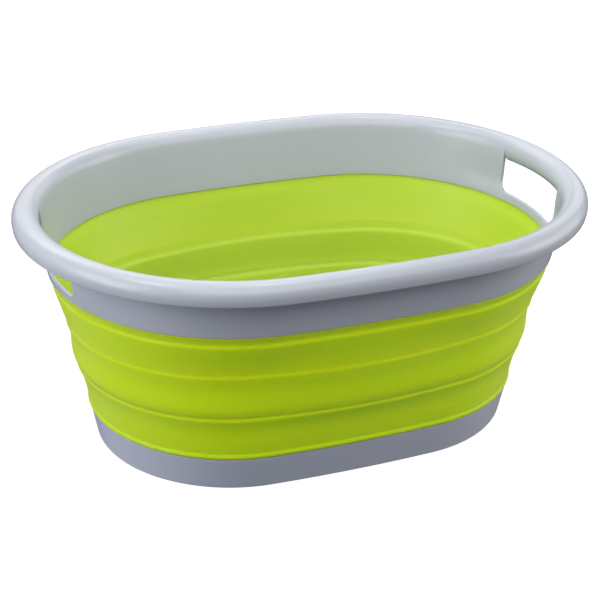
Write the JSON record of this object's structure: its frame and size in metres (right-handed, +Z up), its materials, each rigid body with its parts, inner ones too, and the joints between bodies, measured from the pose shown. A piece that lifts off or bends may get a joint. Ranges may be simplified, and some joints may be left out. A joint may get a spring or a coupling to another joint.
{
  "type": "collapsible bowl",
  "caption": "Oval collapsible tub: rigid rim with rolled lip and hand holes, two-step folding elastomer wall and rigid base pan.",
  "frame": {"origin": "middle of the footprint at the level of the foot ring, so the open tub stands on z = 0", "axes": "+X along the long way, through a hand hole; +Y along the short way; +Z up, through the open mouth"},
  "size_m": [0.6, 0.4434, 0.2548],
  "materials": {
    "rim_plastic": "smooth moulded polypropylene, soft gloss",
    "base_plastic": "smooth moulded polypropylene, satin",
    "elastomer": "lime-green thermoplastic elastomer, semi-matte"
  },
  "bodies": {
    "base": {"base_pan": "base_plastic", "lower_cuff": "elastomer"},
    "band": {"middle_band": "elastomer"},
    "rim": {"rim_frame": "rim_plastic", "upper_cuff": "elastomer"},
    "upper_web_outer": {"upper_web_outer_ring": "elastomer"},
    "upper_web_inner": {"upper_web_inner_ring": "elastomer"},
    "lower_web_outer": {"lower_web_outer_ring": "elastomer"},
    "lower_web_middle": {"lower_web_middle_ring": "elastomer"},
    "lower_web_inner": {"lower_web_inner_ring": "elastomer"}
  },
  "joints": [
    {"name": "lower_fold", "type": "slide", "parent": "base", "child": "band", "axis": [0, 0, -1], "range_m": [0, 0.081]},
    {"name": "upper_fold", "type": "slide", "parent": "band", "child": "rim", "axis": [0, 0, -1], "range_m": [0, 0.08]},
    {"name": "upper_web_outer_slide", "type": "slide", "parent": "band", "child": "upper_web_outer", "axis": [0, 0, -1], "range_m": [0, 0.0602]},
    {"name": "upper_web_inner_slide", "type": "slide", "parent": "band", "child": "upper_web_inner", "axis": [0, 0, -1], "range_m": [0, 0.0202]},
    {"name": "lower_web_outer_slide", "type": "slide", "parent": "base", "child": "lower_web_outer", "axis": [0, 0, -1], "range_m": [0, 0.0677]},
    {"name": "lower_web_middle_slide", "type": "slide", "parent": "base", "child": "lower_web_middle", "axis": [0, 0, -1], "range_m": [0, 0.0407]},
    {"name": "lower_web_inner_slide", "type": "slide", "parent": "base", "child": "lower_web_inner", "axis": [0, 0, -1], "range_m": [0, 0.0138]}
  ],
  "couplings": [
    {"joint": "upper_web_outer_slide", "follows": "upper_fold", "ratio": 0.75},
    {"joint": "upper_web_inner_slide", "follows": "upper_fold", "ratio": 0.25},
    {"joint": "lower_web_outer_slide", "follows": "lower_fold", "ratio": 0.8333},
    {"joint": "lower_web_middle_slide", "follows": "lower_fold", "ratio": 0.5},
    {"joint": "lower_web_inner_slide", "follows": "lower_fold", "ratio": 0.1667}
  ]
}
